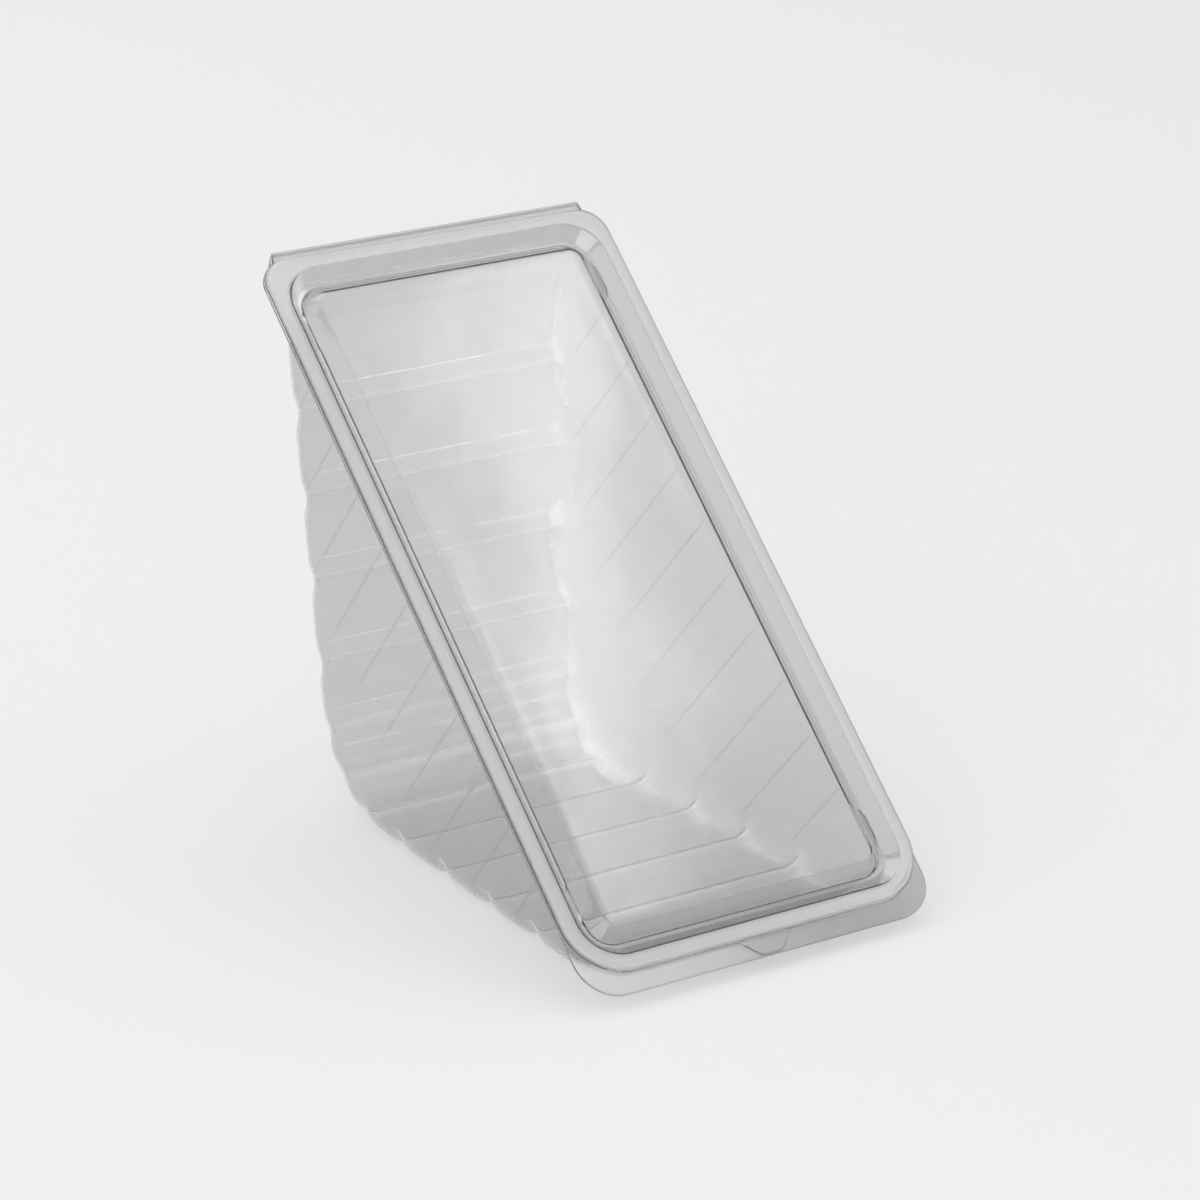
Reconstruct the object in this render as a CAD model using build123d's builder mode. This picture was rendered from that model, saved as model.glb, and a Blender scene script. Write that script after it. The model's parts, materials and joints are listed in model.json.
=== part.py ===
from build123d import *
import os
from math import atan2, cos, hypot, radians, sin, tan

# A closed clear sandwich wedge: a pleated tray standing on its level base wall, and a flat lid over
# its sloping side. X runs along the hinge, and the edge that opens faces -Y.
# In the rim's plane q is the distance up the slope from the lid's middle and v the height above the
# lid's lower edge. Insets are measured inward from the lid's edge.

# Formed sheet, and the play between the two shells
sheet = 0.45
rim_gap = 0.2

# Lid in plan
lid_width = 82.0
lid_length = 167.0
lid_corner = 12.0

# Rim section of the lid: bead, locking groove and raised panel
bead_height = 1.6
bead_draft = 0.4
bead_inset = 3.4
groove_depth = 2.9
groove_inset = 6.0
groove_floor = 0.8
panel_corner = 2.4
panel_drop = 0.2

# Tray body: ledge round the mouth, upright ends, pleated walls and a two-facet heel
slope = 42.5
ledge_width = 1.6
end_depth = 10.3
end_draft = 1.0
pleat_count = 4
pleat_angle = 32.0
ramp_flat = 0.7
flank_land = 4.5
heel_land = 0.25
heel_flank = 39.5
heel_floor = 15.0
side_draft = 2.0
land_radius = 7.0
crease_radius = 1.7
rest_pleat = 2

# How far the cavity is drawn on past the ledge and the heel before it is cut there
overrun = 1.8

# Front flange, thumb tab and hinge strip
front_flange = 3.9
flange_corner = 8.5
tab_reach = 3.8
tab_radius = 6.0
tab_blend = 3.0
hinge_width = 74.6
hinge_reach = 2.0
hinge_lip = 0.8
hinge_lip_height = 1.1
hinge_gap = 0.1

# Rim heights that follow from the section
nest = sheet + rim_gap
groove_height = bead_height - groove_depth
panel_height = bead_height - panel_drop
panel_inset = lid_corner - panel_corner
ledge_height = groove_height - nest
groove_lean = atan2(groove_inset - bead_inset, groove_depth)
flange_top = -rim_gap


def groove_wall_inset(height):
    """Inset of the tray's groove wall at this height: the lid's wall moved out by the nesting depth."""
    return bead_inset + (bead_height - height) * tan(groove_lean) - nest / cos(groove_lean)


mouth_inset = groove_wall_inset(ledge_height) + ledge_width

# A pleat's ramp is half a crease, a straight and half of the land's bend. A pleat of the heel is two ramps,
# the bends of its land and the flat that is left between them.
ramp_turn = radians(pleat_angle)
land_bend = land_radius * tan(ramp_turn / 2)
ramp_length = crease_radius * tan(ramp_turn) + ramp_flat + land_bend
pleat_height = ramp_length * sin(ramp_turn)
pleat_ramp = ramp_length * cos(ramp_turn)
heel_middle = (2 * (pleat_ramp + land_bend) + heel_land) * cos(radians(heel_floor))
heel_start = heel_middle + (2 * (pleat_ramp + land_bend) + flank_land) * cos(radians(heel_flank))

# The pleated outline, from the hinge end's mouth to the middle of the heel
tilt = radians(slope)
mouth_q = lid_length / 2 - mouth_inset
mouth_half_width = lid_width / 2 - mouth_inset
mouth_corner = lid_corner - mouth_inset
shoulder = (mouth_q - end_draft, ledge_height - end_depth)
pleat_pitch = (shoulder[0] - heel_start) / (pleat_count * cos(tilt))


def down_wall(start, angle, end_q):
    """Point where a line that leaves start at this angle below the lid reaches end_q."""
    return (end_q, start[1] - (start[0] - end_q) * tan(radians(angle)))


creases = [shoulder]
for pleat in range(pleat_count):
    creases.append(down_wall(shoulder, slope, shoulder[0] - (pleat + 1) * pleat_pitch * cos(tilt)))
creases.append(down_wall(creases[-1], heel_flank, heel_middle))
creases.append(down_wall(creases[-1], heel_floor, 0))
creases += [(-q, v) for q, v in reversed(creases[:-1])]

top_mouth = (mouth_q + overrun * end_draft / end_depth, ledge_height + overrun)
outline = [top_mouth]
bends = []
for (q0, v0), (q1, v1) in zip(creases[:-1], creases[1:]):
    run = hypot(q1 - q0, v1 - v0)
    along = ((q1 - q0) / run, (v1 - v0) / run)
    outward = (-along[1], along[0])
    outline.append((q0, v0))
    bends.append(crease_radius if bends else land_radius)
    for reach in (pleat_ramp, run - pleat_ramp):
        q = q0 + reach * along[0] + pleat_height * outward[0]
        v = v0 + reach * along[1] + pleat_height * outward[1]
        outline.append((q, v))
        bends.append(land_radius)
outline.append(creases[-1])
bends.append(land_radius)
outline.append((-top_mouth[0], top_mouth[1]))

# The pack stands on its base pleats, with the origin on the land of one of them
base_drop = shoulder[0] * sin(tilt) - shoulder[1] * cos(tilt)
base_front = shoulder[0] * cos(tilt) + shoulder[1] * sin(tilt)
rim_origin = (0, base_front - (rest_pleat + 0.5) * pleat_pitch, base_drop + pleat_height + sheet)
rim_plane = Plane(origin=rim_origin, x_dir=(1, 0, 0), z_dir=(0, -sin(tilt), cos(tilt)))
outline_plane = Plane(origin=rim_origin, x_dir=rim_plane.y_dir, z_dir=(1, 0, 0))
cross_plane = Plane(origin=rim_origin, x_dir=(1, 0, 0), z_dir=-rim_plane.y_dir)
ledge_plane = rim_plane.offset(ledge_height)
section_origin = rim_plane.from_local_coords((lid_width / 2, 0, 0))
section_plane = Plane(origin=section_origin, x_dir=(-1, 0, 0), z_dir=rim_plane.y_dir)


def wedge(grow):
    """The tray's cavity as a solid, with its walls moved out by grow."""
    side_lean = tan(radians(side_draft))
    depth = overrun - min(v for q, v in outline)
    top_half = mouth_half_width + overrun * side_lean
    low_half = mouth_half_width - (depth + ledge_height) * side_lean
    with BuildPart() as body:
        with BuildSketch(outline_plane):
            with BuildLine():
                FilletPolyline(*outline, radius=bends)
                Line(outline[-1], outline[0])
            make_face()
            if grow:
                offset(amount=grow)
        extrude(amount=lid_width / 2, both=True)
        with BuildSketch(cross_plane):
            with BuildLine():
                Polyline(
                    (top_half, top_mouth[1]), (low_half, -depth), (-low_half, -depth),
                    (-top_half, top_mouth[1]), close=True,
                )
            make_face()
            if grow:
                offset(amount=grow)
        extrude(amount=lid_length / 2, both=True, mode=Mode.INTERSECT)
        split(bisect_by=ledge_plane, keep=Keep.BOTTOM)
        across = body.faces().sort_by(Axis.X)
        mouth_edges = body.faces().filter_by(ledge_plane).edges()
        side_edges = across[0].edges() + across[-1].edges()
        fillet([edge for edge in side_edges if edge not in mouth_edges], radius=mouth_corner + grow)
    return body.part


def rim_path():
    """The lid's edge as a closed path that starts in the middle of its right side."""
    x = lid_width / 2
    q = lid_length / 2
    with BuildLine(rim_plane) as path:
        FilletPolyline((x, 0), (x, q), (-x, q), (-x, 0), radius=lid_corner)
        FilletPolyline((-x, 0), (-x, -q), (x, -q), (x, 0), radius=lid_corner)
    return path.wire()


def rim_band(points):
    """A strip of sheet that hangs below these (inset, height) points, carried round the rim."""
    with BuildPart() as band:
        with BuildSketch(section_plane):
            with BuildLine():
                Polyline(*points)
                offset(amount=sheet, side=Side.RIGHT, kind=Kind.INTERSECTION)
            make_face()
        sweep(path=rim_path())
    return band.part


lid_rim = [
    (0, 0),
    (bead_draft, bead_height),
    (bead_inset, bead_height),
    (groove_inset, groove_height),
    (groove_inset + groove_floor, groove_height),
    (panel_inset, panel_height),
    (panel_inset + sheet, panel_height),
]
tray_bead_height = bead_height - nest
tray_rim = [
    (0, flange_top),
    (nest, flange_top),
    (nest + bead_draft, tray_bead_height),
    (groove_wall_inset(tray_bead_height), tray_bead_height),
    (groove_wall_inset(ledge_height), ledge_height),
    (mouth_inset, ledge_height),
]

strip_end = lid_length / 2 + hinge_reach - hinge_gap / 2


def edge_band_core():
    """What lies inside a narrow band along the lid's edge, so that strips reach into the skirt."""
    with BuildSketch() as core:
        RectangleRounded(lid_width - sheet, lid_length - sheet, lid_corner - sheet / 2)
    return core.sketch


def hinge_strip(side, base):
    """Half of the hinge: a strip beside the rim with an upstanding lip, on this side of height base."""
    with BuildPart() as strip:
        with BuildSketch(rim_plane.offset(base)):
            with Locations((0, strip_end - lid_corner / 2)):
                Rectangle(hinge_width, lid_corner)
            add(edge_band_core(), mode=Mode.SUBTRACT)
        extrude(amount=side * sheet)
        with BuildSketch(rim_plane.offset(base)):
            with Locations((0, strip_end - hinge_lip / 2)):
                Rectangle(hinge_width, hinge_lip)
        extrude(amount=side * hinge_lip_height)
    return strip.part


with BuildPart() as tray:
    add(wedge(sheet))
    add(rim_band(tray_rim))
    with BuildSketch(rim_plane.offset(flange_top)):
        with Locations((0, -front_flange / 2)):
            RectangleRounded(lid_width, lid_length + front_flange, flange_corner)
        add(edge_band_core(), mode=Mode.SUBTRACT)
    extrude(amount=-sheet)
    add(hinge_strip(-1, flange_top))
    add(wedge(0), mode=Mode.SUBTRACT)
tray.part.label = "tray"

with BuildPart() as lid:
    add(rim_band(lid_rim))
    with BuildSketch(rim_plane.offset(panel_height)):
        RectangleRounded(lid_width - 2 * panel_inset, lid_length - 2 * panel_inset, panel_corner)
    extrude(amount=-sheet)
    with BuildSketch(rim_plane) as tab:
        with Locations((0, -lid_length / 2 + tab_radius)):
            Rectangle(lid_width / 2, 2 * tab_radius)
        with Locations((0, -lid_length / 2 + tab_radius - tab_reach)):
            Circle(tab_radius)
        fillet(tab.vertices().group_by(Axis.Y)[0].sort_by(lambda point: abs(point.X))[:2], radius=tab_blend)
        add(edge_band_core(), mode=Mode.SUBTRACT)
    extrude(amount=sheet)
    add(hinge_strip(1, 0))
lid.part.label = "lid"

os.makedirs("parts", exist_ok=True)
export_step(tray.part, "parts/tray.step")
export_step(lid.part, "parts/lid.step")
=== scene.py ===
# %% [markdown]
# # A clear sandwich wedge
#
# The real pack is one sheet of clear plastic, heated and drawn into a mould: a pleated tray that stands on
# its level base wall, and a flat lid that snaps over its sloping side. The CAD model already holds both
# shells at their true size. Here each shell is drawn again as a smooth sheet, because clear plastic shows
# every facet that an opaque material would hide.

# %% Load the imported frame
import json

import bpy
import numpy as np
from mathutils import Matrix

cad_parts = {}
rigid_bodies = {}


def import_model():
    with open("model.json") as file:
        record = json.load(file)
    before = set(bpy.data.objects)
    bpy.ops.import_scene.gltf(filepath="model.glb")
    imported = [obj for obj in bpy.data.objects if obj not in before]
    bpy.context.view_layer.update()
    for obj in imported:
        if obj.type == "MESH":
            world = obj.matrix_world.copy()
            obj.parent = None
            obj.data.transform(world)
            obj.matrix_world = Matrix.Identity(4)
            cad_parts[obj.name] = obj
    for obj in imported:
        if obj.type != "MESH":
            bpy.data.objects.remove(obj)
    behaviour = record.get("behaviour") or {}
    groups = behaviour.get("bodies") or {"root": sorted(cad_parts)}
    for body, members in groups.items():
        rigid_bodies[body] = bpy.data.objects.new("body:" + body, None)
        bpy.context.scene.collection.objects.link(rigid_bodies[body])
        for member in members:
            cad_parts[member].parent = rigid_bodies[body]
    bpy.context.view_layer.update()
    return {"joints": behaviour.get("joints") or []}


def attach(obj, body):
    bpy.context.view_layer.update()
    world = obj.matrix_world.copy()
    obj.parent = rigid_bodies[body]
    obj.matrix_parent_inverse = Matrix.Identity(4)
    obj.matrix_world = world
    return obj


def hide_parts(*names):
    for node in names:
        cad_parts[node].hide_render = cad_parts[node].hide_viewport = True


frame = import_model()

# %% [markdown]
# ## Axes that follow the lid
#
# The lid leans back by 42.5 degrees, so its shapes are simplest in axes of their own: x along the hinge, q up
# the slope from the lid's middle, and v out of the lid. World axes would also do, but then every height in
# the rim would need a sine and a cosine. The hinge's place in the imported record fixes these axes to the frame.

# %% From the lid's axes to the frame
slope = np.radians(42.5)
up_slope = np.array([0, np.cos(slope), np.sin(slope)])
off_lid = np.array([0, -np.sin(slope), np.cos(slope)])
hinge_q = 85.5
hinge_v = -0.1
hinge_place = 1000 * np.array(frame["joints"][0]["pos_m"])
lid_middle = hinge_place - hinge_q * up_slope - hinge_v * off_lid


def in_frame(points):
    """Metres in the frame from (x, q, v) in mm: the lid's middle, plus each length along its own axis."""
    axes = np.stack([[1, 0, 0], up_slope, off_lid])
    return (lid_middle + points @ axes) / 1000


print("Lid's middle in mm:", np.round(lid_middle, 3))

# %% [markdown]
# ## Lines with rounded bends
#
# Formed sheet has no sharp corners: the plastic bridges each edge of the mould in a small arc. So every
# section is a line of straight runs whose corners are replaced by arcs. A Bevel modifier could round them
# afterwards, but with the arcs in the line, each bend keeps the radius that the mould gave it.


# %% Rounded line
def rounded_line(corners, radii, steps):
    """Runs between corners, joined by arcs.

    With the turn t at a corner and its radius r, the arc starts r tan(t / 2) before the corner. The point at
    angle a of the arc is the start plus r sin(a) along the run, plus r (1 - cos(a)) towards the side that the
    line turns to.
    """
    corners = np.asarray(corners, float)
    radii = np.asarray(radii, float)
    runs = np.diff(corners, axis=0)
    runs /= np.linalg.norm(runs, axis=1, keepdims=True)
    before, after = runs[:-1], runs[1:]
    turn = np.arctan2(before[:, 0] * after[:, 1] - before[:, 1] * after[:, 0], (before * after).sum(1))
    start = corners[1:-1] - before * (radii * np.tan(np.abs(turn) / 2))[:, None]
    side = np.stack([-before[:, 1], before[:, 0]], 1) * np.sign(turn)[:, None]
    angle = np.abs(turn)[:, None] * np.linspace(0, 1, steps)
    forward = np.sin(angle)[..., None] * before[:, None]
    sideways = (1 - np.cos(angle))[..., None] * side[:, None]
    arcs = start[:, None] + radii[:, None, None] * (forward + sideways)
    return np.vstack([corners[:1], arcs.reshape(-1, 2), corners[-1:]])


def soft_step(a):
    """0 below 0, 1 above 1, and 3a^2 - 2a^3 between."""
    a = np.clip(a, 0, 1)
    return a * a * (3 - 2 * a)


def unit(vectors):
    """Each vector divided by its length."""
    return vectors / np.linalg.norm(vectors, axis=-1, keepdims=True)


# %% [markdown]
# ## From a surface to a sheet
#
# Light bends once as it enters clear plastic and again as it leaves, so the shells need both of their skins.
# A Solidify modifier would add the second one. Doing it with arrays keeps the rim's free edge square and the
# sheet's upper skin exactly where the section puts it.

# %% Sheet with two skins
sheet = 0.45
weld_digits = 4
sharp_angle = np.radians(50)


def formed_sheet(name, points, quads, marks):
    """Mesh object of a surface and its copy, one sheet lower, closed along the free edges.

    Points that fall together are welded. A point's normal is the sum of the area vectors of its faces, and the
    lower skin is the upper one moved by the sheet's thickness against that normal. The marks, a value per point
    under each name, are kept as attributes for the material, and welded points take the largest.
    """
    points, index = np.unique(np.round(points, weld_digits), axis=0, return_inverse=True)
    index = index.reshape(-1)
    quads = index[quads]
    a, b, c, d = (points[quads[:, k]] for k in range(4))
    area = np.cross(c - a, d - b) / 2
    if area[:, 2].sum() < 0:
        quads = quads[:, ::-1]
        area = -area
    normal = np.zeros_like(points)
    np.add.at(normal, quads.T.ravel(), np.tile(area, (4, 1)))
    normal /= np.maximum(np.linalg.norm(normal, axis=1, keepdims=True), 1e-9)

    count = len(points)
    follow = np.roll(quads, -1, axis=1)
    same = quads == follow
    whole = quads[~same.any(1)]
    pinched = same.sum(1) == 1
    thirds = quads[pinched][~same[pinched]].reshape(-1, 3)
    edges = np.stack([quads, follow], -1)[~same & (same.sum(1) < 2)[:, None]]
    forth = edges[:, 0] * count + edges[:, 1]
    back = edges[:, 1] * count + edges[:, 0]
    rim = edges[~np.isin(forth, back)]
    wall = np.stack([rim[:, 1], rim[:, 0], rim[:, 0] + count, rim[:, 1] + count], 1)
    fours = np.vstack([whole, whole[:, ::-1] + count, wall])
    threes = np.vstack([thirds, thirds[:, ::-1] + count])

    mesh = bpy.data.meshes.new(name)
    skins = in_frame(np.vstack([points, points - sheet * normal]))
    mesh.from_pydata(skins, [], fours.tolist() + threes.tolist())
    mesh.polygons.foreach_set("use_smooth", np.ones(len(mesh.polygons), bool))
    mesh.set_sharp_from_angle(angle=sharp_angle)
    for mark, values in marks.items():
        welded = np.full(count, values.min())
        np.maximum.at(welded, index, values.ravel())
        mesh.attributes.new(mark, "FLOAT", "POINT").data.foreach_set("value", np.tile(welded, 2))
    piece = bpy.data.objects.new(name, mesh)
    bpy.context.scene.collection.objects.link(piece)
    print(name, "has", 2 * len(fours) + len(threes), "triangles and", len(rim), "edges along its rim")
    return piece


def grid_quads(rows, columns, first=0, closed=False):
    """Corner numbers of the faces between neighbouring rows and columns of a grid that starts at first."""
    number = first + np.arange(rows * columns).reshape(rows, columns)
    if closed:
        number = np.hstack([number, number[:, :1]])
    faces = np.stack([number[:-1, :-1], number[:-1, 1:], number[1:, 1:], number[1:, :-1]], -1)
    return faces.reshape(-1, 4)


# %% [markdown]
# ## The rim as a path
#
# Bead, groove and ledge all run round the same rounded rectangle, one inside the other. Each is the core
# rectangle, the one that joins the centres of the corner arcs, grown by the corner radius less the inset. So a
# station on the rim needs only a core point and an outward direction, and any inset follows from them.

# %% Stations round the lid
half_width = 41.0
half_length = 83.5
rim_corner = 12.0
hinge_corner = 6.0
core = np.array([half_width - rim_corner, half_length - rim_corner])


def rim_stations(sides, hinge_end, front_end, corner):
    """Core points and outward directions, counter-clockwise from the right side's front end.

    Each stretch goes evenly from one core corner to the next while its direction stays, or stays on a core
    corner while its direction turns a quarter.
    """
    x, q = core
    turns = np.array([[x, -q], [x, q], [-x, q], [-x, -q], [x, -q]])
    places, angles = [], []
    for k, count in enumerate((sides, hinge_end, sides, front_end)):
        part = np.arange(count)[:, None] / count
        places += [turns[k] + part * (turns[k + 1] - turns[k]), np.tile(turns[k + 1], (corner, 1))]
        angles += [np.full(count, k * np.pi / 2), (k + np.arange(corner) / corner) * np.pi / 2]
    angles = np.concatenate(angles)
    return np.vstack(places), np.stack([np.cos(angles), np.sin(angles)], 1)


def corner_spread(places, outward):
    """How far the rim's edge lies beyond its corner arc, at the hinge, where the outer corners are tighter.

    From the core corner the edge is at the square's distance, r / max(|cos|, |sin|), or on the tighter arc if
    the square's point lies beyond the two places where that arc starts.
    """
    c, s = np.abs(outward).T
    inner = rim_corner - hinge_corner
    square = rim_corner / np.maximum(c, s)
    arc = inner * (c + s) + np.sqrt(np.maximum(hinge_corner ** 2 - (inner * (c - s)) ** 2, 0))
    reach = np.where(square * np.minimum(c, s) > inner, arc, square)
    return np.where(places[:, 1] > 0, reach - rim_corner, 0)


lid_core, lid_out = rim_stations(sides=96, hinge_end=44, front_end=120, corner=30)
print("Stations round the lid:", len(lid_core))

# %% [markdown]
# ## Marks for the finish
#
# It is one plastic, but not one finish. The bead is satin, a bend that was drawn hard is whitened, a cut edge is
# painted dark where light runs along inside the sheet, and the panel's tint is painted lighter. Separate materials
# would show a hard line where they meet, so each point of a sheet carries two marks that the one material reads.
# The haze mark goes from 0 for glossy to 1 for dull, and besides real haze it carries painted sheen and
# highlights. The depth mark darkens the sheet above 0 and clears it below, and it holds painted shade and painted
# light.
#
# Some marks stand in for what the photograph's own light does: the dark outline on the right, the clearer groove
# on the left, and the shade along the flange. They were set against the photograph, and they stay where they are
# when the viewer moves.

# %% Strength of the marks
# Most of these marks paint light and shade: the foot's shade, the cut edges, the right outline, the side lines and
# the corner band's edge are painted shade; the panel and the left groove, below 0, are painted light; the haze on
# the front foot and tab, the corner band and the right wall is painted highlight and sheen, and the creases'
# whitening paints their highlights too.
foot_depth = 0.35
lid_cut_depth = 0.7
tray_cut_depth = 0.35
hinge_depth = 0.08
panel_depth = -0.25
outline_depth = 0.8
groove_depth = -0.4
line_depth = 0.22
glint_shade_depth = 0.12
hinge_haze = 0.6
tab_sheen = 0.5
corner_haze = 0.12
crease_haze = 1.0
glint_haze = 0.45
sheen_haze = 0.45
print("The mark edge_depth goes from", groove_depth, "to", outline_depth)

# %% [markdown]
# ## The edge that runs out
#
# Beyond the bead the sheet ends in a narrow foot. At the back it runs on into the hinge strip, which ends in a
# small upstanding lip, and at the front the lid's foot runs out into a thumb tab and the tray's into a wide
# flange. These are one more band of the same grid: from the foot's edge to wherever the sheet ends at that
# station. The two strips stop just short of the hinge's axis, so that they don't meet when the lid opens.

# %% Outer edges of both shells
hinge_half = 37.3
lid_strip_end = 85.45
tray_strip_end = 85.0
strip_margin = 1.0
lip_width = 1.1
lip_height = 0.75
edge_rows = np.linspace(0, 1, 8)
groove_wall = (3.3, 6.9)
groove_fade = (0.3, 0.6)
groove_side = 0.3
groove_side_fade = 0.4


def strip_reach(edge, strip_end):
    """The rim's edge, carried straight back to the hinge strip's end wherever the strip covers it."""
    covered = (edge[:, 1] > 0) & (np.abs(edge[:, 0]) <= hinge_half)
    return np.stack([edge[:, 0], np.where(covered, strip_end, edge[:, 1])], 1)


def on_strip(end):
    """Whether the sheet ends on the hinge strip at this station."""
    return end[:, 1] > half_length + strip_margin


def edge_band(edge, end, foot_v, lip_side):
    """Rows of (x, q, v) from where the sheet ends to the foot's edge, evenly between.

    The height is the foot's, plus a lip shaped as half a sine wave along the hinge strip's last millimetre.
    """
    place = end + edge_rows[:, None, None] * (edge - end)
    from_end = (end[:, 1] - place[..., 1]) / lip_width
    lip = np.where(on_strip(end), np.sin(np.pi * np.clip(from_end, 0, 1)), 0)
    return np.dstack([place, foot_v + lip_side * lip])


def band_depth(end, cut_depth):
    """Depth mark of an edge band: dark along the cut edge and fainter on the foot, but clear on the strip.

    The foot's mark is a painted shade that deepens from left to right in a soft step.
    """
    foot_shade = foot_depth * soft_step((end[:, 0] + half_width) / (2 * half_width))
    foot = np.where(on_strip(end), hinge_depth, foot_shade)
    # Painted shade: the cut edge is tinted dark where light runs along inside the sheet.
    cut = np.where(on_strip(end), hinge_depth, cut_depth)
    return np.vstack([cut, np.tile(foot, (len(edge_rows) - 1, 1))])


def groove_part(section, outward):
    """How much of the left side's groove wall lies here: insets from bead to groove floor, softly ended."""
    start = soft_step((section[:, :1] - groove_wall[0]) / groove_fade[0])
    wall = start * soft_step((groove_wall[1] - section[:, :1]) / groove_fade[1])
    return wall * soft_step((-outward[:, 0] - groove_side) / groove_side_fade)


# %% [markdown]
# ## The lid
#
# From its edge inwards the lid is a foot, a skirt, a bead that covers the tray's rim, a locking groove and a
# raised flat panel. One section carried round the stations gives all of them. The panel then closes in rows
# towards a line along its middle, a little crowned, because a drawn panel is never quite flat. Near the four
# corners, small lugs in the groove's inner wall hold the lid on the tray.

# %% Lid section
foot_v = 0.35
skirt_inset = 0.4
bead_v = 1.6
bead_inset = 3.4
groove_v = -1.3
panel_v = 1.4
lid_section = rounded_line(
    [(0, foot_v), (0.12, 0.725), (skirt_inset, bead_v), (bead_inset, bead_v), (6.0, groove_v), (6.8, groove_v),
     (9.6, panel_v), (rim_corner, panel_v)],
    [0, 0.5, 0.8, 0.6, 0.6, 1.4], steps=7)
snap_start = 62.0
snap_push = 0.6
snap_run = (1.2, 2.0)
snap_wall = (6.2, 9.4)
snap_fade = (0.4, 0.8)
straight = 0.99


def carried_section(section, places, outward, snap):
    """Rows of (x, q, v): each section point set in from the rim's edge at every station.

    The snap lugs near the four corners push the groove's inner wall outwards by snap.
    """
    inner_wall = soft_step((section[:, 0] - snap_wall[0]) / snap_fade[0])
    inner_wall = inner_wall * soft_step((snap_wall[1] - section[:, 0]) / snap_fade[1])
    on_long_side = np.abs(outward[:, 0]) > straight
    along = np.abs(places[:, 1])
    lug = on_long_side * soft_step((along - snap_start) / snap_run[0]) * soft_step((core[1] - along) / snap_run[1])
    inset = section[:, :1] - snap * inner_wall[:, None] * lug
    spread = np.clip(1 - section[:, :1] / bead_inset, 0, 1) * corner_spread(places, outward)
    flat = places + (rim_corner - inset + spread)[..., None] * outward
    return np.dstack([flat, np.broadcast_to(section[:, 1:], inset.shape)])


print("Points in the lid's section:", len(lid_section))

# %% Lid rim, tab and panel
tab_place = 0.7
tab_reach = 3.8
tab_half = 6.8
tab_flat = 1.6
crown_height = 0.2
wave_height = 0.05
wave_along, wave_across, wave_fade = 14, 11, 6
panel_rows = np.linspace(0, 1, 17)[1:]


def tab_shape(x):
    """How far the thumb tab runs out at x: full across its flat, falling in an S-curve on each flank."""
    return tab_reach * soft_step((tab_half - np.abs(x - tab_place)) / (tab_half - tab_flat))


def panel_crown(x, q):
    """Height of the panel in mm: a dome, (1 - x^2) (1 - q^2) over its half sizes, with slow waves in it."""
    dome = crown_height * (1 - (x / core[0]) ** 2) * (1 - (q / core[1]) ** 2)
    inside = soft_step((core[0] - np.abs(x)) / wave_fade)
    waves = wave_height * np.sin(q / wave_along + 1) * np.cos(x / wave_across) * inside
    return np.maximum(dome, 0) + waves


rim_edge = lid_core + (rim_corner + corner_spread(lid_core, lid_out))[:, None] * lid_out
lid_end = strip_reach(rim_edge, lid_strip_end)
at_front = lid_out[:, 1] < -straight
lid_end[:, 1] -= np.where(at_front, tab_shape(lid_end[:, 0]), 0)
lid_edge = edge_band(rim_edge, lid_end, foot_v, lip_height)
lid_rim = carried_section(lid_section, lid_core, lid_out, snap_push)
spine = np.stack([0 * lid_core[:, 0], np.clip(lid_core[:, 1], core[0] - core[1], core[1] - core[0])], 1)
panel_flat = lid_rim[-1, :, :2] + panel_rows[:, None, None] * (spine - lid_rim[-1, :, :2])
lid_panel = np.dstack([panel_flat, panel_v + panel_crown(panel_flat[..., 0], panel_flat[..., 1])])
lid_grid = np.vstack([lid_edge, lid_rim[1:], lid_panel])
print("Lid grid:", lid_grid.shape[:2])

# %% [markdown]
# ## Finish of the lid
#
# The lid's bead looks satin, as sheet does that was drawn over a roughened mould. The hinge strip has been folded
# and is a little white, and on the thumb tab and front foot haze paints a sheen. The panel's tint is painted
# lighter, the left groove wall is painted lighter, and a painted dark line runs along the skirt on the right. Each
# row of the section gets its marks from its inset, so they follow the rim without a seam.

# %% Lid marks and shell
satin_start, satin_rise, satin_fall = 0.1, 0.1, 0.2
outline_wide = 0.15
outline_side = 0.3
panel_light_start = 9.0
inset = lid_section[1:, :1]
rim_rows = slice(len(lid_edge), len(lid_edge) + len(inset))

lid_haze_and_sheen = np.zeros(lid_grid.shape[:2])
# Whitening on the hinge strip; on the front foot and tab the haze is a painted sheen.
lid_haze_and_sheen[:len(lid_edge) - 1] = np.where(on_strip(lid_end), hinge_haze, tab_sheen * at_front)
lid_haze_and_sheen[rim_rows] = soft_step((inset - satin_start) / satin_rise) * soft_step((bead_inset - inset) / satin_fall)

# Painted shade: a dark line along the skirt, on the right side only.
outline_shade = outline_depth * np.exp(-((inset - skirt_inset) / outline_wide) ** 2) * (lid_out[:, 0] > outline_side)
# Painted light: the panel's tint is made lighter.
panel_light = panel_depth * soft_step(inset - panel_light_start)
lid_depth = np.full(lid_grid.shape[:2], panel_depth)
lid_depth[:len(lid_edge)] = band_depth(lid_end, lid_cut_depth)
# Painted light: the groove wall on the left gets a mark below 0, so its tint is lighter.
lid_depth[rim_rows] = outline_shade + panel_light + groove_depth * groove_part(lid_section[1:], lid_out)

lid_faces = grid_quads(*lid_grid.shape[:2], closed=True)
lid_marks = {"haze_and_sheen": lid_haze_and_sheen, "edge_depth": lid_depth}
lid_shell = formed_sheet("lid_shell", lid_grid.reshape(-1, 3), lid_faces, lid_marks)

# %% [markdown]
# ## The tray's outline
#
# Seen from the side the tray is a symmetric V of pleats: an upright wall at each end, four pleats down each
# flank and a short pleated heel. Between two creases a pleat stands out as a flat land with a ramp on each
# side. The outline is drawn once, finely, and the tray's sections are then spread along it, closer together
# where it bends.

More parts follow.
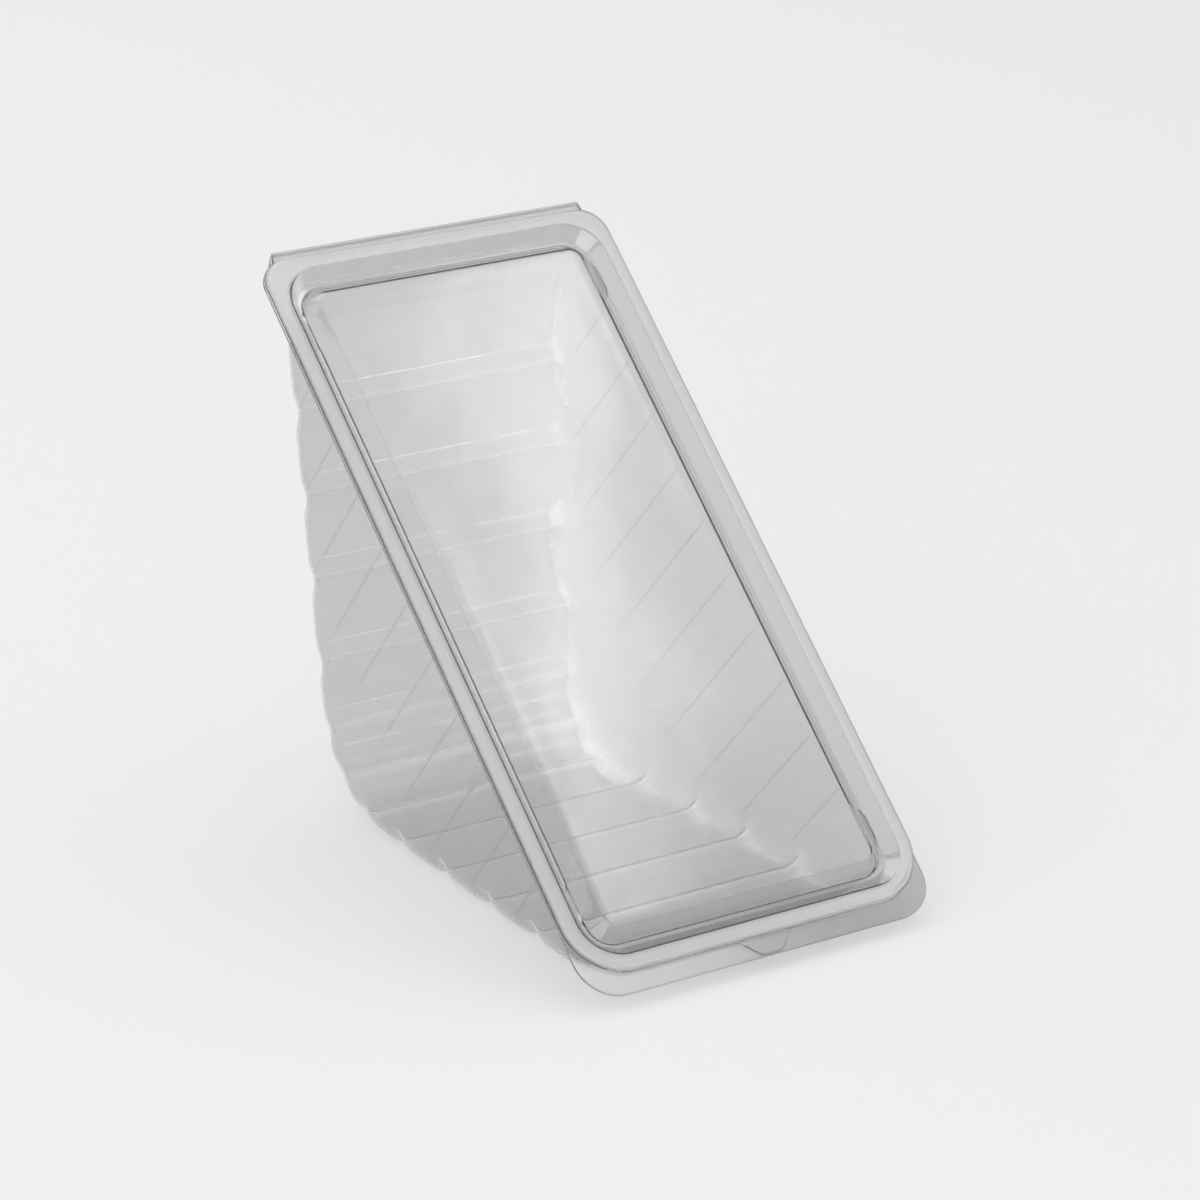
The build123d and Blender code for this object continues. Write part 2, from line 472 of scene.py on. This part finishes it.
# %% Pleated outline
ledge_v = -1.95
mouth_inset = 7.31
mouth_round = 0.7
mouth_v = ledge_v - mouth_round
mouth_q = half_length - mouth_inset
pleat_step = 13.35
pleat_height = 1.985
pleat_ramp = 3.2
crease_bend = 0.9
land_bend = 7.0
heel_middle = 10.3
shoulder = np.array([75.19, -12.25])
wall_slope = np.tan(np.radians([42.5, 39.5, 15.0]))

crease_q = np.append(shoulder[0] - pleat_step * np.arange(5), [heel_middle, 0])
crease_v = shoulder[1] - np.append(0, np.cumsum(-np.diff(crease_q) * wall_slope[[0, 0, 0, 0, 1, 2]]))
creases = np.stack([crease_q, crease_v], 1)
creases = np.vstack([creases, creases[-2::-1] * [-1, 1]])
runs = np.diff(creases, axis=0)
runs /= np.linalg.norm(runs, axis=1, keepdims=True)
bulge = pleat_height * np.stack([-runs[:, 1], runs[:, 0]], 1)
land_start = creases[:-1] + pleat_ramp * runs + bulge
land_end = creases[1:] - pleat_ramp * runs + bulge
lands = np.stack([creases[:-1], land_start, land_end], 1)
corners = np.vstack([[mouth_q, mouth_v], lands.reshape(-1, 2), creases[-1:], [-mouth_q, mouth_v]])
bends = np.append(np.tile([crease_bend, land_bend, land_bend], len(runs)), land_bend)
bends[0] = land_bend
outline = rounded_line(corners, bends, steps=40)
print("Pleated outline:", len(runs), "pleats, deepest at", round(outline[:, 1].min(), 2), "mm")

# %% [markdown]
# ## Walls and corners of the tray
#
# At each station of the outline the tray has a U-shaped section: down one side wall, round a corner, across the
# pleated wall and up the other side. The corner rolls like a ball between the two walls, so it leans with the
# pleat that it follows, and its edge is wavy as on the real pack. The side walls also carry thin straight lines,
# square to the lid, where the sheet folded slightly as it was drawn. Their relief is a few hundredths of a
# millimetre, and a mark makes them a little darker.

# %% Stations along the outline
corner_round = 4.7
corner_mouth = rim_corner - mouth_inset
level_depth = 9
round_depth = 14
station_pitch = 1.9
station_turn = 8
tangent_step = 0.05
line_places = 60.5 - 13.0 * np.arange(10)
line_width = 0.28
line_stations = np.array([-1.6, -0.8, 0, 0.8, 1.6])

steps = np.linalg.norm(np.diff(outline, axis=0), axis=1)
outline = outline[np.append(True, steps > 1e-6)]
fine = np.append(0, np.cumsum(np.linalg.norm(np.diff(outline, axis=0), axis=1)))
heading = np.unwrap(np.arctan2(*unit(np.diff(outline, axis=0)).T[::-1]))
turned = np.append(0, np.cumsum(np.append(np.abs(np.diff(heading)), 0)))
cost = fine / station_pitch + np.degrees(turned) / station_turn
along = np.interp(np.linspace(0, cost[-1], int(cost[-1])), cost, fine)


def outline_at(s):
    """Point, inward normal and corner radius of the outline at length s.

    Near the mouth the normal is turned level, so that the corner's upper end stays in the mouth's plane.
    """
    point, ahead, behind = (
        np.stack([np.interp(s + step, fine, outline[:, k]) for k in (0, 1)], 1)
        for step in (0, tangent_step, -tangent_step))
    tangent = unit(ahead - behind)
    deep = soft_step((mouth_v - point[:, 1]) / level_depth)
    normal = unit(np.stack([tangent[:, 1], -tangent[:, 0] * deep], 1))
    radius = corner_mouth + (corner_round - corner_mouth) * soft_step((mouth_v - point[:, 1]) / round_depth)
    return point, normal, radius


point, normal, radius = outline_at(along)
side_q = point[:, 0] + radius * normal[:, 0]
nearby = line_places[:, None] + line_width * line_stations
along = np.union1d(along, np.interp(-nearby.ravel(), -side_q, along))
point, normal, radius = outline_at(along)
print("Sections along the outline:", len(along))

# %% Tray body
side_draft = np.tan(np.radians(2.0))
mouth_half = half_width - mouth_inset
line_height = 0.03
line_start = 2
line_end = 62
line_fade = 30
wall_rows = np.linspace(0, 1, 16)
corner_rows = np.radians(np.linspace(90, 0, 15))[1:]
floor_rows = 1 - np.linspace(0, 1, 12)[1:] ** 1.5


def side_line(q, v):
    """How much of a drawn line lies here: a bell curve across each line place, fading to the line's ends."""
    ridge = np.exp(-((q[..., None] - line_places) / line_width) ** 2).sum(-1)
    return ridge * soft_step((mouth_v - v) / line_start) * soft_step((line_end + v) / line_fade)


def side_x(q, v):
    """Half width of the cavity: the mouth's, less the draft, less the height of the drawn lines."""
    return mouth_half - (mouth_v - v) * side_draft - line_height * side_line(q, v)


rise = radius[:, None] * (1 - np.cos(corner_rows))
top_q = point[:, :1] + radius[:, None] * normal[:, :1]
top_v = point[:, 1:] + radius[:, None] * normal[:, 1:]
wall_q = np.repeat(top_q, len(wall_rows), 1)
wall_v = mouth_v + wall_rows * (top_v - mouth_v)
wall_x = -side_x(wall_q, wall_v)
turn_q = point[:, :1] + normal[:, :1] * rise
turn_v = point[:, 1:] + normal[:, 1:] * rise
turn_x = radius[:, None] * (1 - np.sin(corner_rows)) - side_x(turn_q, turn_v)
floor_x = turn_x[:, -1:] * floor_rows
floor_q = np.repeat(point[:, :1], len(floor_rows), 1)
floor_v = np.repeat(point[:, 1:], len(floor_rows), 1)
left = np.dstack([np.hstack([wall_x, turn_x, floor_x]), np.hstack([wall_q, turn_q, floor_q]),
                  np.hstack([wall_v, turn_v, floor_v])])
right = left[:, -2::-1] * [-1, 1, 1]
body = np.hstack([left, right])
print("Tray body grid:", body.shape[:2])

# %% [markdown]
# ## The tray's rim
#
# The rim sits under the lid's with a gap of a fifth of a millimetre: a foot, a bead, the far side of the locking
# groove and a narrow ledge round the mouth. Its stations are the mouth's own points, so rim and body share their
# edge and the tray is one closed sheet.

# %% Tray rim
tray_foot_v = -0.2
tray_bead_v = 0.95
front_flange = 3.9
flange_corner = 8.5
wall_columns = len(wall_rows) - 1
mouth = np.vstack([body[0, wall_columns:-wall_columns], body[1:-1, -1],
                   body[-1, wall_columns:-wall_columns][::-1], body[1:-1, 0][::-1]])
tray_core = np.clip(mouth[:, :2], -core, core)
tray_out = unit(mouth[:, :2] - tray_core)
tray_section = rounded_line(
    [(0, tray_foot_v), (0.2, tray_foot_v), (0.75, tray_foot_v), (1.15, tray_bead_v), (3.11, tray_bead_v),
     (5.71, ledge_v), (mouth_inset, ledge_v), (mouth_inset, mouth_v)],
    [0, 0.3, 0.45, 0.6, 0.5, mouth_round - 0.01], steps=5)
tray_edge = tray_core + (rim_corner + corner_spread(tray_core, tray_out))[:, None] * tray_out
flange_core = np.array([half_width, half_length + front_flange]) - flange_corner
flange_end = tray_core * flange_core / core + flange_corner * tray_out
tray_end = np.where(tray_core[:, 1:] <= -core[1], flange_end, strip_reach(tray_edge, tray_strip_end))
tray_rows = np.vstack([
    edge_band(tray_edge, tray_end, tray_foot_v, -lip_height),
    carried_section(tray_section[1:-1], tray_core, tray_out, 0),
    mouth[None],
])
print("Tray rim grid:", tray_rows.shape[:2])

# %% [markdown]
# ## Whitened creases, and a painted highlight and painted sheen in the corner
#
# The sheet is whitened along the creases between the pleats, where it was bent hardest, and that whitening also
# paints the creases' bright highlight lines. In the back right corner a wavy bright band runs down the corner with
# a pale sheen behind it that thins out up the side wall: both are painted highlight and painted sheen, drawn as
# haze, with a faint painted dark line along the band's edge. Such a line can form where the sheet touches the cold
# mould early and stops stretching. It is drawn as haze and a faint dark edge, because the photograph doesn't show
# how high it stands. The wave goes through seven places along the outline, each with how far the haze reaches past
# the side wall there, joined by soft steps.

# %% Haze and lines on the tray
crease_wide = 0.45
glint_along = [15, 30, 54, 64, 93, 105, 132]
glint_reach = [3.7, 5.2, -3.5, 7.4, 3.7, 5.9, 9.0]
glint_wide = 7.0
glint_rise = 0.5
sheen_wide = 22.0
edge_beyond = 0.3
edge_wide = 0.4
back_start = 26
back_fade = 14

crease_s = fine[np.abs(outline[:, None] - creases[1:-1]).sum(-1).argmin(0)]
# Whitening along the creases, which also paints their highlights.
at_crease = crease_haze * np.exp(-((along[:, None] - crease_s) / crease_wide) ** 2).max(1)
corner_part = np.concatenate([0 * wall_rows, corner_haze * np.sin(2 * corner_rows), 0 * floor_rows])
crease_part = np.concatenate([0 * wall_rows, np.cos(corner_rows) ** 2, 0 * floor_rows + 1])
left_haze = np.maximum(corner_part, at_crease[:, None] * crease_part)
# Painted shade: the side walls' drawn lines are tinted darker.
left_line = np.hstack([line_depth * side_line(wall_q, wall_v), 0 * turn_v, 0 * floor_v])

quarter = radius[:, None] * np.pi / 2
past_corner = quarter - radius[:, None] * corner_rows
past_wall = np.hstack([top_v - wall_v, past_corner, quarter + floor_x - turn_x[:, -1:]])
glint_number = np.arange(len(glint_along))
glint_turn = np.interp(along, glint_along, glint_number)
glint_edge = np.interp(np.floor(glint_turn) + soft_step(glint_turn % 1), glint_number, glint_reach)
inside_glint = glint_edge[:, None] - past_wall
back_part = soft_step((point[:, :1] + back_start) / back_fade)
# Painted highlight along the wavy corner band and painted sheen up the right wall, both as haze.
glint_and_sheen = glint_haze * soft_step(1 - inside_glint / glint_wide) + sheen_haze * soft_step(1 - inside_glint / sheen_wide)
right_haze = np.maximum(back_part * soft_step(inside_glint / glint_rise) * glint_and_sheen, left_haze)
# Painted shade: a faint dark line along the band's edge.
glint_shade_line = back_part * glint_shade_depth * np.exp(-((inside_glint + edge_beyond) / edge_wide) ** 2)
right_line = np.maximum(left_line, glint_shade_line)

body_haze = np.hstack([left_haze, right_haze[:, -2::-1]])
body_line = np.hstack([left_line, right_line[:, -2::-1]])
print("Creases:", len(crease_s), "and the most haze on the body:", round(body_haze.max(), 2))

# %% Tray marks and shell
flange_facing = -0.5
flange_bright = 20
flange_fade = 40

# Painted sheen: haze on the front flange's left part, fading out towards the right.
flange_sheen = tab_sheen * (tray_out[:, 1] < flange_facing)
flange_sheen = flange_sheen * soft_step((flange_bright - tray_end[:, 0]) / flange_fade)
rim_haze = np.zeros(tray_rows.shape[:2])
rim_haze[:len(edge_rows) - 1] = np.where(on_strip(tray_end), hinge_haze, flange_sheen)
rim_depth = np.zeros(tray_rows.shape[:2])
rim_depth[:len(edge_rows)] = band_depth(tray_end, tray_cut_depth)
rim_depth[len(edge_rows):-1] = groove_depth * groove_part(tray_section[1:-1], tray_out)
tray_marks = {"haze_and_sheen": np.append(rim_haze, body_haze), "edge_depth": np.append(rim_depth, body_line)}

tray_points = np.vstack([tray_rows.reshape(-1, 3), body.reshape(-1, 3)])
rim_faces = grid_quads(*tray_rows.shape[:2], closed=True)
body_faces = grid_quads(*body.shape[:2], first=rim_haze.size)
tray_shell = formed_sheet("tray_shell", tray_points, np.vstack([rim_faces, body_faces]), tray_marks)

# %% [markdown]
# ## Clear sheet
#
# The plastic is clear and glossy, with a grey tint where light crosses two walls; the tint is deeper than the
# sheet's own, so it also paints the shade under and behind the pack. Principled with full transmission bends the
# light as the real sheet does. A glass sheet would stop the lamps and leave a black shadow, so shadow rays pass
# through a pale transparent shader instead. Slow waves in the surface and a little haze keep it from looking like
# ground glass.
#
# The haze mark makes the sheet rougher and lighter and lets less light straight through, as whitened plastic does;
# on the front foot and tab, the flange, the creases, the corner band and the right wall that lighter tint is
# painted sheen and highlight. The depth mark mixes its tint towards a dark grey, which paints shade. That mix
# isn't clamped, so a mark below 0 makes the tint lighter, which paints light.


# %% Clear plastic
def clear_plastic(name):
    """Transmitting Principled shader: waves in its normal, haze in its roughness, and a pale shadow."""
    material = bpy.data.materials.new(name)
    material.use_nodes = True
    nodes, links = material.node_tree.nodes, material.node_tree.links
    nodes.clear()
    place = nodes.new("ShaderNodeTexCoord").outputs["Object"]
    draw = nodes.new("ShaderNodeTexNoise")
    draw.inputs["Scale"].default_value = 55
    draw.inputs["Detail"].default_value = 2
    haze = nodes.new("ShaderNodeTexNoise")
    haze.inputs["Scale"].default_value = 160
    haze.inputs["Detail"].default_value = 4
    rough = nodes.new("ShaderNodeMapRange")
    rough.inputs["To Min"].default_value = 0.015
    rough.inputs["To Max"].default_value = 0.05
    haze_and_sheen = nodes.new("ShaderNodeAttribute")
    haze_and_sheen.attribute_name = "haze_and_sheen"
    dull = nodes.new("ShaderNodeMath")
    dull.operation = "MULTIPLY_ADD"
    dull.inputs[1].default_value = 0.3
    # The tint A is deeper than the sheet's own grey, painted shade for what lies under and behind the pack.
    tint = nodes.new("ShaderNodeMix")
    tint.data_type = "RGBA"
    tint.inputs["A"].default_value = (0.76, 0.76, 0.76, 1)
    tint.inputs["B"].default_value = (0.85, 0.85, 0.85, 1)
    depth = nodes.new("ShaderNodeAttribute")
    depth.attribute_name = "edge_depth"
    # The dark grey that the depth mark mixes in paints shade.
    edge_tint = nodes.new("ShaderNodeMix")
    edge_tint.data_type = "RGBA"
    edge_tint.clamp_factor = False
    edge_tint.inputs["B"].default_value = (0.22, 0.22, 0.22, 1)
    clear = nodes.new("ShaderNodeMath")
    clear.operation = "MULTIPLY_ADD"
    clear.inputs[1].default_value = -0.25
    clear.inputs[2].default_value = 1
    bump = nodes.new("ShaderNodeBump")
    bump.inputs["Strength"].default_value = 0.07
    bump.inputs["Distance"].default_value = 0.0006
    plastic = nodes.new("ShaderNodeBsdfPrincipled")
    plastic.inputs["IOR"].default_value = 1.57
    shadow = nodes.new("ShaderNodeBsdfTransparent")
    shadow.inputs["Color"].default_value = (0.955, 0.955, 0.955, 1)
    ray = nodes.new("ShaderNodeLightPath")
    mix = nodes.new("ShaderNodeMixShader")
    out = nodes.new("ShaderNodeOutputMaterial")
    links.new(place, draw.inputs["Vector"])
    links.new(place, haze.inputs["Vector"])
    links.new(haze.outputs["Fac"], rough.inputs["Value"])
    links.new(haze_and_sheen.outputs["Fac"], dull.inputs[0])
    links.new(rough.outputs["Result"], dull.inputs[2])
    links.new(dull.outputs["Value"], plastic.inputs["Roughness"])
    links.new(haze_and_sheen.outputs["Fac"], tint.inputs["Factor"])
    links.new(tint.outputs["Result"], edge_tint.inputs["A"])
    links.new(depth.outputs["Fac"], edge_tint.inputs["Factor"])
    links.new(edge_tint.outputs["Result"], plastic.inputs["Base Color"])
    links.new(haze_and_sheen.outputs["Fac"], clear.inputs[0])
    links.new(clear.outputs["Value"], plastic.inputs["Transmission Weight"])
    links.new(draw.outputs["Fac"], bump.inputs["Height"])
    links.new(bump.outputs["Normal"], plastic.inputs["Normal"])
    links.new(ray.outputs["Is Shadow Ray"], mix.inputs["Fac"])
    links.new(plastic.outputs["BSDF"], mix.inputs[1])
    links.new(shadow.outputs["BSDF"], mix.inputs[2])
    links.new(mix.outputs["Shader"], out.inputs["Surface"])
    return material


clear_sheet = clear_plastic("clear_sheet")
for piece, node in ((lid_shell, "lid"), (tray_shell, "tray")):
    piece.data.materials.append(clear_sheet)
    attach(piece, node)
    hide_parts(node)
print("Finish:", clear_sheet.name)

# %% [markdown]
# ## Floor
#
# The photograph has a pale, even ground with hardly any shadow. Clear things are drawn by what stands around
# them, and a bright matt floor makes the walls read as light grey.

# %% Pale floor
span = 6.0
floor_mesh = bpy.data.meshes.new("floor")
floor_corners = [(-span, -span, 0), (span, -span, 0), (span, span, 0), (-span, span, 0)]
floor_mesh.from_pydata(floor_corners, [], [(0, 1, 2, 3)])
floor = bpy.data.objects.new("floor", floor_mesh)
bpy.context.scene.collection.objects.link(floor)
paper = bpy.data.materials.new("pale_paper")
paper.use_nodes = True
paper_inputs = paper.node_tree.nodes["Principled BSDF"].inputs
paper_inputs["Base Color"].default_value = (0.86, 0.86, 0.86, 1)
paper_inputs["Roughness"].default_value = 1
paper_inputs["Specular IOR Level"].default_value = 0
floor_mesh.materials.append(paper)
print("Floor:", 2 * span, "m across")

# %% [markdown]
# ## Room
#
# The room is a little brighter in front of the pack than behind it, so edges and bends gather its dimmer side
# into thin dark lines. One soft bright stripe stands where the lid mirrors it towards the photograph's camera,
# and lays the pale veil over the panel. A lamp could do that too, but its edges would show in the clear panel.

# %% World
front_side = (0.35, -0.94, 0)
stripe_normal = (-0.843, 0.076, 0.533)
stripe_middle = (0.505, -0.262, 0.822)
stripe_half_width = np.radians(3.0)
stripe_inner, stripe_outer = np.radians([3, 10])

world = bpy.data.worlds.new("room")
bpy.context.scene.world = world
world.use_nodes = True
room_nodes, room_links = world.node_tree.nodes, world.node_tree.links
direction = room_nodes.new("ShaderNodeTexCoord").outputs["Generated"]


def along_direction(axis):
    """Output with the part of the view's direction that lies along this axis, their dot product."""
    dot = room_nodes.new("ShaderNodeVectorMath")
    dot.operation = "DOT_PRODUCT"
    dot.inputs[1].default_value = axis
    room_links.new(direction, dot.inputs[0])
    return dot.outputs["Value"]


sideways = room_nodes.new("ShaderNodeMapRange")
sideways.inputs["From Min"].default_value = -1
sideways.inputs["To Min"].default_value = 0.55
sideways.inputs["To Max"].default_value = 0.75
beside = room_nodes.new("ShaderNodeMath")
beside.operation = "ABSOLUTE"
stripe = room_nodes.new("ShaderNodeMapRange")
stripe.interpolation_type = "SMOOTHSTEP"
stripe.inputs["From Min"].default_value = np.sin(stripe_half_width)
stripe.inputs["From Max"].default_value = 0
stripe.inputs["To Min"].default_value = 0.1
length = room_nodes.new("ShaderNodeMapRange")
length.interpolation_type = "SMOOTHSTEP"
length.inputs["From Min"].default_value = np.cos(stripe_outer)
length.inputs["From Max"].default_value = np.cos(stripe_inner)
length.inputs["To Max"].default_value = 2.0
both = room_nodes.new("ShaderNodeMath")
both.operation = "MULTIPLY_ADD"
room_links.new(along_direction(front_side), sideways.inputs["Value"])
room_links.new(along_direction(stripe_normal), beside.inputs[0])
room_links.new(beside.outputs["Value"], stripe.inputs["Value"])
room_links.new(along_direction(stripe_middle), length.inputs["Value"])
room_links.new(stripe.outputs["Result"], both.inputs[0])
room_links.new(length.outputs["Result"], both.inputs[1])
room_links.new(sideways.outputs["Result"], both.inputs[2])
room_links.new(both.outputs["Value"], room_nodes["Background"].inputs["Strength"])
room_nodes["Background"].inputs["Color"].default_value = (1, 1, 1, 1)
print("Room nodes:", len(room_nodes))

# %% [markdown]
# ## Lamps
#
# A large overhead lamp gives the even ground and the faint shadow. A window at the left lightens the slope
# between groove and panel. A long thin strip at the front right and a low lamp at the front left are there for
# the bends and edges to mirror.


# %% Soft lamps
def soft_lamp(name, place, width, height, power):
    """Rectangular area lamp that faces the pack's middle."""
    lamp = bpy.data.lights.new(name, "AREA")
    lamp.shape = "RECTANGLE"
    lamp.size = width
    lamp.size_y = height
    lamp.energy = power
    holder = bpy.data.objects.new(name, lamp)
    back = unit(np.array(place) - lid_middle / 1000)
    right = unit(np.cross([0, 0, 1], back))
    turn = np.eye(4)
    turn[:3, :3] = np.stack([right, np.cross(back, right), back], 1)
    turn[:3, 3] = place
    holder.matrix_world = Matrix(turn.tolist())
    bpy.context.scene.collection.objects.link(holder)
    print("Lamp:", name, power, "W")


soft_lamp("overhead", place=(-0.2, 1.0, 2.3), width=2.2, height=2.2, power=20)
soft_lamp("side_window", place=(-1.35, -0.15, 1.2), width=1.0, height=1.0, power=2.8)
soft_lamp("strip", place=(1.0, -1.9, 0.55), width=2.2, height=0.08, power=3.5)
soft_lamp("low_front", place=(-0.9, -1.1, 0.45), width=1.0, height=0.8, power=4)

# %% [markdown]
# ## Camera
#
# The photograph was taken with a long lens from the left and a little above. The angles, the distance and the lens
# were worked out from the corners of the lid. Light crosses many skins on its way through the pack, so it needs
# more bounces than usual.

# %% Camera at the photograph's angle
azimuth, elevation, roll = np.radians([-32.35, 19.64, -0.4])
distance = 0.9004
image_side = 1200
focal = 4479.1
sensor = 36
sight_offset = np.array([-10.1, -25.2])
bounces = 24

back = np.array([np.sin(azimuth) * np.cos(elevation), -np.cos(azimuth) * np.cos(elevation), np.sin(elevation)])
level = unit(np.cross([0, 0, 1], back))
upright = np.cross(back, level)
right_axis = np.cos(roll) * level + np.sin(roll) * upright
up_axis = np.cos(roll) * upright - np.sin(roll) * level
lens = bpy.data.cameras.new("camera")
lens.sensor_width = sensor
lens.lens = sensor * focal / image_side
lens.shift_x = -sight_offset[0] / image_side
lens.shift_y = sight_offset[1] / image_side
lens.clip_start = 0.01
camera = bpy.data.objects.new("camera", lens)
stance = np.eye(4)
stance[:3, :3] = np.stack([right_axis, up_axis, back], 1)
stance[:3, 3] = lid_middle / 1000 + distance * back
camera.matrix_world = Matrix(stance.tolist())
scene = bpy.context.scene
scene.collection.objects.link(camera)
scene.camera = camera
scene.view_settings.view_transform = "Standard"
scene.cycles.max_bounces = bounces
scene.cycles.transmission_bounces = bounces
scene.cycles.transparent_max_bounces = bounces
print("Camera at", np.round(stance[:3, 3], 4))
